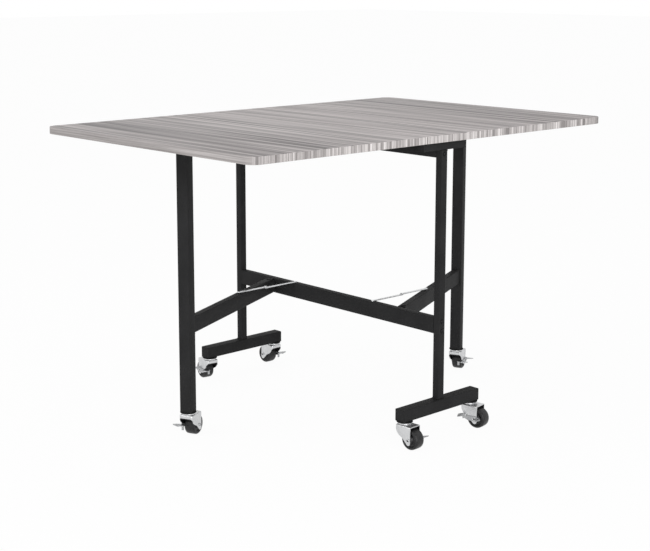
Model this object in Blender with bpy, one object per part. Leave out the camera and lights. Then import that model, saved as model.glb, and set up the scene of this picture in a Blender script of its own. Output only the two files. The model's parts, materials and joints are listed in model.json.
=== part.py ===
# Folding dining table on casters: a centre panel with two leaves, a T-frame at each end and two gate legs.
# Metres, +Z up, +X along the table's length, floor at Z = 0.
import math

import bmesh
import bpy
from mathutils import Matrix, Vector

# Gaps between neighbours
SEAT_GAP = 0.0003
RUNNING_GAP = 0.0003
FOLD_GAP = 0.001

# Top
TABLE_LENGTH = 1.220
TABLE_WIDTH = 0.800
TABLE_HEIGHT = 0.750
TOP_THICKNESS = 0.018
CENTRE_WIDTH = 0.150
SEAM_GAP = 0.0015
CORNER_RADIUS = 0.025
CORNER_STEPS = 10
EDGE_EASE = 0.0008

# Leaf hinges
HINGE_INSET = 0.080
HINGE_LENGTH = 0.054
FLAP_WIDTH = 0.028
FLAP_THICKNESS = 0.002
BARREL_RADIUS = 0.0027
HINGE_PIN_RADIUS = 0.0013
KNUCKLE_GAP = 0.0004

# Frame tubes
TUBE_WALL = 0.0015
TUBE_CORNER = 0.002
POST_SIZE = 0.020
POST_INSET = 0.023
FOOT_SIZE = 0.030
FOOT_LENGTH = 0.270
TOP_BAR_SIZE = 0.020
TOP_BAR_LENGTH = 0.148
VENT_RADIUS = 0.004
STRETCHER_HEIGHT = 0.040
STRETCHER_THICKNESS = 0.020
STRETCHER_BOTTOM = 0.259
RAIL_HEIGHT = 0.040
RAIL_THICKNESS = 0.020

# Frame bolts
BOLT_RADIUS = 0.003
BOLT_GRIP = 0.010
BOLT_SPACING = 0.024
BOLT_HEAD_RADIUS = 0.0055
BOLT_HEAD_HEIGHT = 0.003
BOLT_HEAD_RIM = 0.001
BOLT_HEAD_EDGE = 0.0014
BOLT_SOCKET_RADIUS = 0.0022
BOLT_SOCKET_DEPTH = 0.002

# Gate legs
LEG_SIZE = 0.030
ARM_HEIGHT = 0.040
ARM_THICKNESS = 0.020
GATE_PIVOT_INSET = 0.147
GATE_REACH = 0.475
GATE_OPEN = math.radians(65.4)
LUG_WIDTH = 0.014
LUG_HEIGHT = 0.026
GATE_PIN_RADIUS = 0.003
GATE_PIN_HEAD_RADIUS = 0.006
GATE_PIN_HEAD_HEIGHT = 0.0015

# Folding stays
STAY_ANCHOR = 0.082
STAY_ARM_POINT = 0.187
STAY_LONG = 0.1045
STAY_WIDTH = 0.009
STAY_THICKNESS = 0.0015
STAY_PIN_RADIUS = 0.0025
STAY_PIN_DEPTH = 0.006
STAY_HEAD_RADIUS = 0.004
STAY_HEAD_HEIGHT = 0.0012

# Casters
CASTER_HEIGHT = 0.0655
CASTER_INSET = 0.017
CASTER_TRAIL = 0.0268
FRONT_LEFT_TURN = math.radians(-88)
FRONT_RIGHT_TURN = math.radians(-81)
REAR_LEFT_TURN = math.radians(81.5)
REAR_RIGHT_TURN = math.radians(89)
STEM_RADIUS = 0.004
STEM_LENGTH = 0.022
CAP_RADIUS = 0.020
CAP_HEIGHT = 0.0025
RACE_RADIUS = 0.017
RACE_HEIGHT = 0.0045
RIVET_RADIUS = 0.0065
RIVET_HEIGHT = 0.002
FORK_WIDTH = 0.0368
FORK_FRONT = 0.0148
FORK_SHEET = 0.0022
FORK_LIP = 0.0084
FORK_CORNER = 0.006
FORK_THROAT = -0.0075
FORK_THROAT_DROP = 0.020
FORK_KNEE = -0.002
FORK_KNEE_DROP = 0.0254
FORK_NECK = 0.0095
FORK_NECK_DROP = 0.0309
FORK_TIP_RADIUS = 0.0065
FORK_TIP_DROP = 0.0064
AXLE_RADIUS = 0.003
WHEEL_RADIUS = 0.025
WHEEL_WIDTH = 0.0284
WHEEL_SHOULDER = 0.002
TREAD_SHOULDER = 0.0045
TREAD_MIDDLE = 0.0032
WHEEL_RIM = 0.0065
WHEEL_HUB_RADIUS = 0.0095
WHEEL_RECESS = 0.004
LEVER_SHEET = 0.0018
LEVER_CREST = 0.0075
LEVER_CREST_PLACE = 0.006
LEVER_BELLY = 0.0055
LEVER_CHIN = 0.0015
LEVER_TAIL = 0.0170
LEVER_TAIL_TOP = 0.004
LEVER_TAIL_LOW = -0.001
PEDAL_PLACE = 0.0373
PEDAL_REACH = 0.0377
PEDAL_LENGTH = 0.019
PEDAL_TIP_LENGTH = 0.003
PEDAL_TOP = 0.0055
SHOE_INNER = 0.0078
SHOE_OUTER = 0.0132
SHOE_LENGTH = 0.006
SHOE_DROP = 0.0122
HEEL_START = 0.0035
HEEL_REACH = 0.039
HEEL_TOP = 0.0032
HEEL_TIP_LENGTH = 0.002

# Facets and shading of round pieces
PIN_SIDES = 16
RACE_SIDES = 18
WHEEL_SIDES = 26
TUBE_CORNER_STEPS = 2
FORK_CORNER_STEPS = 4
FORK_TIP_STEPS = 8
SHARP_ANGLE = math.radians(35)
EASE_ANGLE = math.radians(60)

# Heights and places worked out from the sizes above
UNDERSIDE = TABLE_HEIGHT - TOP_THICKNESS
POST_Y = TABLE_WIDTH / 2 - POST_INSET
HINGE_Y = TABLE_WIDTH / 2 - HINGE_INSET
GATE_PIVOT_Y = POST_Y - GATE_PIVOT_INSET
FOOT_TOP = CASTER_HEIGHT + FOOT_SIZE
TOP_BAR_TOP = UNDERSIDE - SEAT_GAP
TOP_BAR_BOTTOM = TOP_BAR_TOP - TOP_BAR_SIZE
RAIL_BOTTOM = TOP_BAR_TOP - RAIL_HEIGHT
STRETCHER_TOP = STRETCHER_BOTTOM + STRETCHER_HEIGHT
STRETCHER_MIDDLE = STRETCHER_BOTTOM + STRETCHER_HEIGHT / 2
ARM_TOP = STRETCHER_TOP
ARM_BOTTOM = ARM_TOP - ARM_HEIGHT
ARM_MIDDLE = ARM_TOP - ARM_HEIGHT / 2
SPAN = POST_Y - POST_SIZE / 2 - SEAT_GAP
HINGE_X = CENTRE_WIDTH / 2 + SEAM_GAP / 2
HINGE_Z = UNDERSIDE - SEAT_GAP - BARREL_RADIUS
GATE_PIVOT_X = STRETCHER_THICKNESS / 2 + max(LEG_SIZE, ARM_THICKNESS) / 2 + FOLD_GAP
RACE_TOP = CASTER_HEIGHT - SEAT_GAP - CAP_HEIGHT
CROWN_TOP = RACE_TOP - RACE_HEIGHT - RUNNING_GAP
CROWN_BOTTOM = CROWN_TOP - FORK_SHEET
FORK_BACK = CASTER_TRAIL + FORK_TIP_RADIUS

LAMINATE = ((0.37, 0.345, 0.33), 0.45, 0.0)
BLACK_PAINT = ((0.03, 0.03, 0.031), 0.5, 0.2)
ZINC = ((0.62, 0.63, 0.64), 0.35, 0.9)
STEEL = ((0.55, 0.56, 0.57), 0.3, 1.0)
DARK_STEEL = ((0.09, 0.09, 0.095), 0.4, 0.8)
RUBBER = ((0.045, 0.045, 0.048), 0.7, 0.0)


def mesh_from(geometry, name):
    bmesh.ops.recalc_face_normals(geometry, faces=geometry.faces)
    mesh = bpy.data.meshes.new(name)
    geometry.to_mesh(mesh)
    geometry.free()
    return mesh


def arc(centre, radius, start, end, steps):
    angles = [start + (end - start) * i / steps for i in range(steps + 1)]
    return [(centre[0] + radius * math.cos(a), centre[1] + radius * math.sin(a)) for a in angles]


def rounded_rectangle(low, high, radii, steps):
    # Corners run anticlockwise from the low corner; each has its own radius.
    (x0, y0), (x1, y1) = low, high
    corners = ((x0, y0, 1, 1), (x1, y0, -1, 1), (x1, y1, -1, -1), (x0, y1, 1, -1))
    points = []
    for turn, ((x, y, sx, sy), radius) in enumerate(zip(corners, radii)):
        if radius > 0:
            start = math.pi + turn * math.pi / 2
            centre = (x + sx * radius, y + sy * radius)
            points += arc(centre, radius, start, start + math.pi / 2, steps)
        else:
            points.append((x, y))
    return points


def prism(points, low, high, name="prism"):
    geometry = bmesh.new()
    bottom = [geometry.verts.new((x, y, low)) for x, y in points]
    top = [geometry.verts.new((x, y, high)) for x, y in points]
    geometry.faces.new(bottom)
    geometry.faces.new(top)
    for i in range(len(points)):
        j = (i + 1) % len(points)
        geometry.faces.new((bottom[i], bottom[j], top[j], top[i]))
    return mesh_from(geometry, name)


def box(low, high, name="box"):
    points = rounded_rectangle(low[:2], high[:2], (0, 0, 0, 0), 1)
    return prism(points, low[2], high[2], name)


def cylinder(radius, low, high, sides=PIN_SIDES, name="cylinder"):
    points = arc((0, 0), radius, 0, 2 * math.pi * (1 - 1 / sides), sides - 1)
    return prism(points, low, high, name)


def turned(profile, sides, name="turned"):
    # The profile runs as (radius, z); a radius of 0 closes it on the axis, or else it is a closed ring.
    geometry = bmesh.new()
    rings = []
    for radius, z in profile:
        angles = [2 * math.pi * i / sides for i in range(sides)] if radius > 0 else [0.0]
        rings.append([geometry.verts.new((radius * math.cos(a), radius * math.sin(a), z)) for a in angles])
    pairs = list(zip(rings, rings[1:]))
    if profile[0][0] > 0:
        pairs.append((rings[-1], rings[0]))
    for upper, lower in pairs:
        for i in range(sides):
            j = (i + 1) % sides
            around = ((upper, i), (upper, j), (lower, j), (lower, i))
            corners = [ring[k % len(ring)] for ring, k in around]
            geometry.faces.new(list(dict.fromkeys(corners)))
    return mesh_from(geometry, name)


def tube(width, depth, low, high, closed_low, closed_high, name="tube"):
    # A rectangular tube along Z; a closed end has a plate as thick as the wall.
    def loop(inset, radius, z):
        x, y = width / 2 - inset, depth / 2 - inset
        points = rounded_rectangle((-x, -y), (x, y), (radius,) * 4, TUBE_CORNER_STEPS)
        return [geometry.verts.new((*point, z)) for point in points]

    geometry = bmesh.new()
    inner_radius = max(TUBE_CORNER - TUBE_WALL, TUBE_CORNER / 5)
    outer_low = loop(0, TUBE_CORNER, low)
    outer_high = loop(0, TUBE_CORNER, high)
    inner_low = loop(TUBE_WALL, inner_radius, low + TUBE_WALL * closed_low)
    inner_high = loop(TUBE_WALL, inner_radius, high - TUBE_WALL * closed_high)
    count = len(outer_low)
    for i in range(count):
        j = (i + 1) % count
        geometry.faces.new((outer_low[i], outer_low[j], outer_high[j], outer_high[i]))
        geometry.faces.new((inner_low[j], inner_low[i], inner_high[i], inner_high[j]))
        if not closed_low:
            geometry.faces.new((outer_low[j], outer_low[i], inner_low[i], inner_low[j]))
        if not closed_high:
            geometry.faces.new((outer_high[i], outer_high[j], inner_high[j], inner_high[i]))
    if closed_low:
        geometry.faces.new(outer_low[::-1])
        geometry.faces.new(inner_low)
    if closed_high:
        geometry.faces.new(outer_high)
        geometry.faces.new(inner_high[::-1])
    mesh = bpy.data.meshes.new(name)
    geometry.to_mesh(mesh)
    geometry.free()
    return mesh


def moved(mesh, offset=(0, 0, 0), turn=0.0, axis="Z"):
    mesh.transform(Matrix.Translation(offset) @ Matrix.Rotation(turn, 4, axis))
    return mesh


def along_x(mesh):
    # A piece drawn along Z lies along X, with its own Y upright.
    mesh.transform(Matrix(((0, 0, 1, 0), (1, 0, 0, 0), (0, 1, 0, 0), (0, 0, 0, 1))))
    return mesh


def along_y(mesh):
    # A piece drawn along Z lies along Y, with its own X upright.
    mesh.transform(Matrix(((0, 1, 0, 0), (0, 0, 1, 0), (1, 0, 0, 0), (0, 0, 0, 1))))
    return mesh


def upright(mesh):
    # A side outline drawn in XY stands in XZ, and its thickness runs along -Y.
    mesh.transform(Matrix.Rotation(math.pi / 2, 4, "X"))
    return mesh


def joined(meshes):
    # Several holes that don't meet are cut in one go.
    geometry = bmesh.new()
    for mesh in meshes:
        geometry.from_mesh(mesh)
    result = bpy.data.meshes.new("joined")
    geometry.to_mesh(result)
    geometry.free()
    return result


def combine(base, operation, tools):
    holder = bpy.data.objects.new("combine_base", base)
    cutters = [bpy.data.objects.new("combine_tool", tool) for tool in tools]
    for item in [holder] + cutters:
        bpy.context.scene.collection.objects.link(item)
    for cutter in cutters:
        modifier = holder.modifiers.new("combine", "BOOLEAN")
        modifier.operation = operation
        modifier.solver = "EXACT"
        modifier.object = cutter
    bpy.context.view_layer.update()
    depsgraph = bpy.context.evaluated_depsgraph_get()
    result = bpy.data.meshes.new_from_object(holder.evaluated_get(depsgraph))
    for item in [holder] + cutters:
        bpy.data.objects.remove(item)
    return result


def empty(name, location, turn=0.0, parent=None):
    item = bpy.data.objects.new(name, None)
    item.location = location
    item.rotation_euler = (0, 0, turn)
    item.parent = parent
    bpy.context.scene.collection.objects.link(item)
    return item


def place(name, mesh, finish, location=(0, 0, 0), turn=0.0, parent=None):
    color, roughness, metallic = finish
    material = bpy.data.materials.new(name + "_finish")
    material.use_nodes = True
    surface = material.node_tree.nodes["Principled BSDF"]
    surface.inputs["Base Color"].default_value = (*color, 1.0)
    surface.inputs["Roughness"].default_value = roughness
    surface.inputs["Metallic"].default_value = metallic
    mesh = mesh.copy()
    mesh.materials.clear()
    mesh.materials.append(material)
    mesh.shade_smooth()
    mesh.set_sharp_from_angle(angle=SHARP_ANGLE)
    item = bpy.data.objects.new(name, mesh)
    item.location = location
    item.rotation_euler = (0, 0, turn)
    item.parent = parent
    bpy.context.scene.collection.objects.link(item)
    return item


def ease_edges(item):
    bevel = item.modifiers.new("eased_edges", "BEVEL")
    bevel.width = EDGE_EASE
    bevel.segments = 2
    bevel.limit_method = "ANGLE"
    bevel.angle_limit = EASE_ANGLE


def bolt_hole(x, y, z, length):
    hole = along_y(cylinder(BOLT_RADIUS + RUNNING_GAP, -length / 2, length / 2))
    return moved(hole, (x, y, z))


def bolt_heights():
    return {"upper": STRETCHER_MIDDLE + BOLT_SPACING / 2, "lower": STRETCHER_MIDDLE - BOLT_SPACING / 2,
            "rail": (RAIL_BOTTOM + TOP_BAR_BOTTOM) / 2}


def build_top():
    half = CENTRE_WIDTH / 2
    points = rounded_rectangle((-half, -TABLE_WIDTH / 2), (half, TABLE_WIDTH / 2), (0, 0, 0, 0), 1)
    ease_edges(place("centre_panel", prism(points, UNDERSIDE, TABLE_HEIGHT), LAMINATE))
    low, high = (SEAM_GAP / 2, -TABLE_WIDTH / 2), (TABLE_LENGTH / 2 - HINGE_X, TABLE_WIDTH / 2)
    points = rounded_rectangle(low, high, (0, CORNER_RADIUS, CORNER_RADIUS, 0), CORNER_STEPS)
    leaf = prism(points, UNDERSIDE - HINGE_Z, TABLE_HEIGHT - HINGE_Z)
    for side, sign in (("left", -1), ("right", 1)):
        axis = empty(side + "_leaf_axis", (sign * HINGE_X, 0, HINGE_Z), math.pi if sign < 0 else 0.0)
        ease_edges(place(side + "_leaf", leaf, LAMINATE, parent=axis))
        build_leaf_hinges(side, sign, axis)


def build_leaf_hinges(side, sign, axis):
    third = HINGE_LENGTH / 3
    inner = BARREL_RADIUS + KNUCKLE_GAP
    low, high = BARREL_RADIUS - FLAP_THICKNESS, BARREL_RADIUS
    middle = third / 2 - KNUCKLE_GAP
    plate = box((-FLAP_WIDTH, -HINGE_LENGTH / 2, low), (-inner, HINGE_LENGTH / 2, high))
    tongue = box((-inner - FLAP_THICKNESS, -middle, low), (0, middle, high))
    barrel = along_y(cylinder(BARREL_RADIUS, -middle, middle))
    pin = along_y(cylinder(HINGE_PIN_RADIUS, -HINGE_LENGTH / 2, HINGE_LENGTH / 2))
    fixed = combine(plate, "UNION", [tongue, barrel, pin])

    moving = box((inner, -HINGE_LENGTH / 2, low), (FLAP_WIDTH, HINGE_LENGTH / 2, high))
    knuckles = []
    for end in (-1, 1):
        near, far = end * third / 2, end * HINGE_LENGTH / 2
        y0, y1 = min(near, far), max(near, far)
        knuckles.append(box((0, y0, low), (inner + FLAP_THICKNESS, y1, high)))
        knuckles.append(along_y(cylinder(BARREL_RADIUS, y0, y1)))
    moving = combine(moving, "UNION", knuckles)
    bore = along_y(cylinder(HINGE_PIN_RADIUS + RUNNING_GAP, -HINGE_LENGTH, HINGE_LENGTH))
    moving = combine(moving, "DIFFERENCE", [bore])
    for end, y in (("front", -HINGE_Y), ("rear", HINGE_Y)):
        spot = (0, y * sign, 0)
        place(side + "_" + end + "_hinge_fixed", fixed, STEEL, spot, parent=axis)
        place(side + "_" + end + "_hinge_moving", moving, STEEL, spot, parent=axis)


def build_end_frame(end, sign):
    y = sign * POST_Y
    holes = [bolt_hole(0, 0, z, 2 * POST_SIZE) for z in bolt_heights().values()]
    post = tube(POST_SIZE, POST_SIZE, FOOT_TOP + SEAT_GAP, TOP_BAR_BOTTOM - SEAT_GAP, False, False)
    place(end + "_post", combine(post, "DIFFERENCE", [joined(holes)]), BLACK_PAINT, (0, y, 0))

    foot = along_x(tube(FOOT_SIZE, FOOT_SIZE, -FOOT_LENGTH / 2, FOOT_LENGTH / 2, True, True))
    moved(foot, (0, 0, CASTER_HEIGHT + FOOT_SIZE / 2))
    holes = joined([stem_hole(x) for x in foot_caster_places()])
    place(end + "_foot", combine(foot, "DIFFERENCE", [holes]), BLACK_PAINT, (0, y, 0))

    bar = along_x(tube(TOP_BAR_SIZE, TOP_BAR_SIZE, -TOP_BAR_LENGTH / 2, TOP_BAR_LENGTH / 2, True, True))
    moved(bar, (0, 0, TOP_BAR_TOP - TOP_BAR_SIZE / 2))
    vent = cylinder(VENT_RADIUS, TOP_BAR_BOTTOM - TUBE_WALL, TOP_BAR_BOTTOM + 2 * TUBE_WALL)
    place(end + "_top_bar", combine(bar, "DIFFERENCE", [vent]), BLACK_PAINT, (0, y, 0))
    build_bolts(end, sign)


def foot_caster_places():
    return (CASTER_INSET - FOOT_LENGTH / 2, FOOT_LENGTH / 2 - CASTER_INSET)


def stem_hole(x):
    hole = cylinder(STEM_RADIUS + RUNNING_GAP, CASTER_HEIGHT - TUBE_WALL, CASTER_HEIGHT + 2 * TUBE_WALL)
    return moved(hole, (x, 0, 0))


def build_bolts(end, sign):
    reach = SEAT_GAP + POST_SIZE + SEAT_GAP + BOLT_GRIP
    top = BOLT_HEAD_HEIGHT
    profile = ((0, top - BOLT_SOCKET_DEPTH), (BOLT_SOCKET_RADIUS, top - BOLT_SOCKET_DEPTH),
               (BOLT_SOCKET_RADIUS, top), (BOLT_HEAD_RADIUS - BOLT_HEAD_EDGE, top),
               (BOLT_HEAD_RADIUS, BOLT_HEAD_RIM), (BOLT_HEAD_RADIUS, 0),
               (BOLT_RADIUS, 0), (BOLT_RADIUS, -reach), (0, -reach))
    bolt = turned(profile, PIN_SIDES)
    bolt.transform(Matrix.Rotation(-sign * math.pi / 2, 4, "X"))
    face = sign * (POST_Y + POST_SIZE / 2 + SEAT_GAP)
    for name, z in bolt_heights().items():
        place(end + "_" + name + "_bolt", bolt, DARK_STEEL, (0, face, z))


def build_long_rails():
    heights = bolt_heights()
    low, high = STRETCHER_TOP - 2 * TUBE_WALL, STRETCHER_TOP + TUBE_WALL
    holes = []
    for sign in (-1, 1):
        pin_hole = cylinder(STAY_PIN_RADIUS + RUNNING_GAP, low, high)
        holes.append(moved(pin_hole, (0, -sign * (GATE_PIVOT_Y - STAY_ANCHOR), 0)))
        holes += [bolt_hole(0, sign * SPAN, heights[name], 4 * TUBE_WALL) for name in ("upper", "lower")]
    stretcher = along_y(tube(STRETCHER_HEIGHT, STRETCHER_THICKNESS, -SPAN, SPAN, True, True))
    moved(stretcher, (0, 0, STRETCHER_MIDDLE))
    place("stretcher", combine(stretcher, "DIFFERENCE", [joined(holes)]), BLACK_PAINT)

    rail = along_y(tube(RAIL_HEIGHT, RAIL_THICKNESS, -SPAN, SPAN, True, True))
    moved(rail, (0, 0, RAIL_BOTTOM + RAIL_HEIGHT / 2))
    holes = [bolt_hole(0, end * SPAN, heights["rail"], 4 * TUBE_WALL) for end in (-1, 1)]
    place("top_rail", combine(rail, "DIFFERENCE", [joined(holes)]), BLACK_PAINT)


def build_gate(side, sign):
    pivot = (sign * GATE_PIVOT_X, -sign * GATE_PIVOT_Y, 0)
    gate = empty(side + "_gate_axis", pivot, sign * math.pi / 2 - GATE_OPEN)
    arm_start, arm_end = -ARM_THICKNESS / 2, GATE_REACH - LEG_SIZE / 2 - SEAT_GAP
    arm = along_x(tube(ARM_THICKNESS, ARM_HEIGHT, arm_start, arm_end, False, False))
    moved(arm, (0, 0, ARM_MIDDLE))
    lug_room = LUG_HEIGHT / 2 + RUNNING_GAP
    notch = box((2 * arm_start, ARM_THICKNESS / 2 - 2 * TUBE_WALL, ARM_MIDDLE - lug_room),
                (LUG_WIDTH / 2 + TUBE_WALL, ARM_THICKNESS, ARM_MIDDLE + lug_room))
    bore = cylinder(GATE_PIN_RADIUS + RUNNING_GAP, ARM_BOTTOM - ARM_HEIGHT, ARM_TOP + ARM_HEIGHT)
    place(side + "_gate_arm", combine(arm, "DIFFERENCE", [joined([notch, bore])]), BLACK_PAINT, parent=gate)

    leg = tube(LEG_SIZE, LEG_SIZE, CASTER_HEIGHT, UNDERSIDE - SEAT_GAP, True, True)
    place(side + "_gate_leg", combine(leg, "DIFFERENCE", [stem_hole(0)]), BLACK_PAINT,
          (GATE_REACH, 0, 0), parent=gate)
    place(side + "_gate_pivot", gate_pivot(), BLACK_PAINT, pivot, math.pi if sign > 0 else 0.0)
    return gate


def gate_pivot():
    # A lug welded to the stretcher's side, with the riveted pin that the gate arm turns on.
    half = LUG_WIDTH / 2
    weld = GATE_PIVOT_X - STRETCHER_THICKNESS / 2 - SEAT_GAP
    outline = arc((0, 0), half, math.pi / 2, 3 * math.pi / 2, PIN_SIDES // 2)
    outline += [(weld, -half), (weld, half)]
    lug = prism(outline, ARM_MIDDLE - LUG_HEIGHT / 2, ARM_MIDDLE + LUG_HEIGHT / 2)
    low, high = ARM_BOTTOM - RUNNING_GAP, ARM_TOP + RUNNING_GAP
    head = GATE_PIN_HEAD_HEIGHT
    profile = ((0, high + head), (GATE_PIN_HEAD_RADIUS, high + head), (GATE_PIN_HEAD_RADIUS, high),
               (GATE_PIN_RADIUS, high), (GATE_PIN_RADIUS, low), (GATE_PIN_HEAD_RADIUS, low),
               (GATE_PIN_HEAD_RADIUS, low - head), (0, low - head))
    return combine(lug, "UNION", [turned(profile, PIN_SIDES)])


def bar(length, low):
    half = STAY_WIDTH / 2
    ends = arc((length, 0), half, -math.pi / 2, math.pi / 2, PIN_SIDES // 2)
    ends += arc((0, 0), half, math.pi / 2, 3 * math.pi / 2, PIN_SIDES // 2)
    return prism(ends, low, low + STAY_THICKNESS)


def build_stay(side, sign):
    # The long bar turns on the stretcher, the short one on the long bar's end; at rest both are in line.
    anchor = Vector((0, -sign * (GATE_PIVOT_Y - STAY_ANCHOR)))
    heading = sign * math.pi / 2 - GATE_OPEN
    pivot = Vector((sign * GATE_PIVOT_X, -sign * GATE_PIVOT_Y))
    arm_point = pivot + STAY_ARM_POINT * Vector((math.cos(heading), math.sin(heading)))
    straight = arm_point - anchor
    turn = math.atan2(straight.y, straight.x)
    elbow = anchor + STAY_LONG * straight.normalized()
    short_length = straight.length - STAY_LONG

    long_low = STRETCHER_TOP + RUNNING_GAP
    short_low = long_low + STAY_THICKNESS + RUNNING_GAP
    head_low = short_low + STAY_THICKNESS + RUNNING_GAP
    head_high = head_low + STAY_HEAD_HEIGHT
    inside_long = long_low + STAY_THICKNESS / 2
    anchor_head = long_low + STAY_THICKNESS + STAY_HEAD_HEIGHT
    anchor_foot = STRETCHER_TOP - STAY_PIN_DEPTH
    anchor_pin = turned(((0, anchor_head), (STAY_HEAD_RADIUS, anchor_head), (STAY_HEAD_RADIUS, inside_long),
                         (STAY_PIN_RADIUS, inside_long), (STAY_PIN_RADIUS, anchor_foot), (0, anchor_foot)),
                        PIN_SIDES)
    elbow_pin = turned(((0, head_high), (STAY_HEAD_RADIUS, head_high), (STAY_HEAD_RADIUS, head_low),
                        (STAY_PIN_RADIUS, head_low), (STAY_PIN_RADIUS, inside_long), (0, inside_long)),
                       PIN_SIDES)
    long_bar = combine(bar(STAY_LONG, long_low), "UNION", [anchor_pin, moved(elbow_pin, (STAY_LONG, 0, 0))])
    place(side + "_stay_long", long_bar, STEEL, (*anchor, 0), turn)

    eye = cylinder(STAY_PIN_RADIUS + RUNNING_GAP, short_low - STAY_THICKNESS, head_low)
    arm_rivet = cylinder(STAY_HEAD_RADIUS, ARM_TOP + RUNNING_GAP, head_high)
    short_bar = combine(bar(short_length, short_low), "UNION", [moved(arm_rivet, (short_length, 0, 0))])
    place(side + "_stay_short", combine(short_bar, "DIFFERENCE", [eye]), STEEL, (*elbow, 0), turn)


def caster_stem():
    # The stem goes up into the tube; its flat cap lies under the tube, with the swivel's race below it.
    top, race_low = CASTER_HEIGHT - SEAT_GAP, RACE_TOP - RACE_HEIGHT
    rivet = CROWN_BOTTOM - RUNNING_GAP
    profile = ((0, top + STEM_LENGTH), (STEM_RADIUS, top + STEM_LENGTH), (STEM_RADIUS, top),
               (CAP_RADIUS, top), (CAP_RADIUS, RACE_TOP), (RACE_RADIUS, RACE_TOP),
               (RACE_RADIUS, race_low), (STEM_RADIUS, race_low), (STEM_RADIUS, rivet),
               (RIVET_RADIUS, rivet), (RIVET_RADIUS, rivet - RIVET_HEIGHT), (0, rivet - RIVET_HEIGHT))
    return turned(profile, RACE_SIDES)


def caster_fork():
    # A pressed channel: a crown plate, a short lip round the front and a cheek down each side to the axle.
    half = FORK_WIDTH / 2
    inner = half - FORK_SHEET
    corners = (FORK_CORNER, FORK_SHEET, FORK_SHEET, FORK_CORNER)
    plan = rounded_rectangle((-FORK_FRONT, -half), (FORK_BACK, half), corners, FORK_CORNER_STEPS)
    shell = prism(plan, 0, CROWN_TOP)
    above, ahead = 2 * CROWN_TOP, -2 * FORK_FRONT
    tip = (CASTER_TRAIL, WHEEL_RADIUS - FORK_TIP_DROP)
    neck = (FORK_NECK, CROWN_TOP - FORK_NECK_DROP)
    away = math.hypot(neck[0] - tip[0], neck[1] - tip[1])
    toward = math.atan2(neck[1] - tip[1], neck[0] - tip[0])
    tip_start = toward + math.acos(FORK_TIP_RADIUS / away)
    lip = CROWN_TOP - FORK_LIP
    side = [(FORK_BACK, above), (ahead, above), (ahead, lip), (-FORK_FRONT, lip),
            (FORK_THROAT, CROWN_TOP - FORK_THROAT_DROP), (FORK_KNEE, CROWN_TOP - FORK_KNEE_DROP), neck]
    side += arc(tip, FORK_TIP_RADIUS, tip_start, 2 * math.pi, FORK_TIP_STEPS)
    shell = combine(shell, "INTERSECT", [upright(prism(side, -FORK_WIDTH, FORK_WIDTH))])
    corners = (FORK_CORNER - FORK_SHEET, 0, 0, FORK_CORNER - FORK_SHEET)
    plan_inner = rounded_rectangle((FORK_SHEET - FORK_FRONT, -inner), (2 * FORK_BACK, inner), corners,
                                   FORK_CORNER_STEPS)
    hollow = prism(plan_inner, -CROWN_TOP, CROWN_BOTTOM)
    swivel_hole = cylinder(STEM_RADIUS + RUNNING_GAP, 0, 2 * CROWN_TOP, RACE_SIDES)
    shell = combine(shell, "DIFFERENCE", [hollow, swivel_hole])
    stub = half + LEVER_SHEET + 2 * RUNNING_GAP
    axle = moved(along_y(cylinder(AXLE_RADIUS, -stub, stub)), (CASTER_TRAIL, 0, WHEEL_RADIUS))
    return combine(shell, "UNION", [axle])


def caster_wheel():
    half, rim, bore = WHEEL_WIDTH / 2, WHEEL_RADIUS - WHEEL_RIM, AXLE_RADIUS + RUNNING_GAP
    web = half - WHEEL_RECESS
    hub = FORK_WIDTH / 2 - FORK_SHEET - RUNNING_GAP
    half_profile = ((bore, hub), (WHEEL_HUB_RADIUS - WHEEL_SHOULDER, hub), (WHEEL_HUB_RADIUS, web),
                    (rim - WHEEL_SHOULDER, web), (rim, half), (WHEEL_RADIUS - TREAD_SHOULDER, half),
                    (WHEEL_RADIUS - TREAD_SHOULDER + TREAD_MIDDLE, half - TREAD_SHOULDER + TREAD_MIDDLE),
                    (WHEEL_RADIUS, half - TREAD_SHOULDER))
    profile = half_profile + tuple((r, -z) for r, z in reversed(half_profile))
    return along_y(turned(profile, WHEEL_SIDES))


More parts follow.
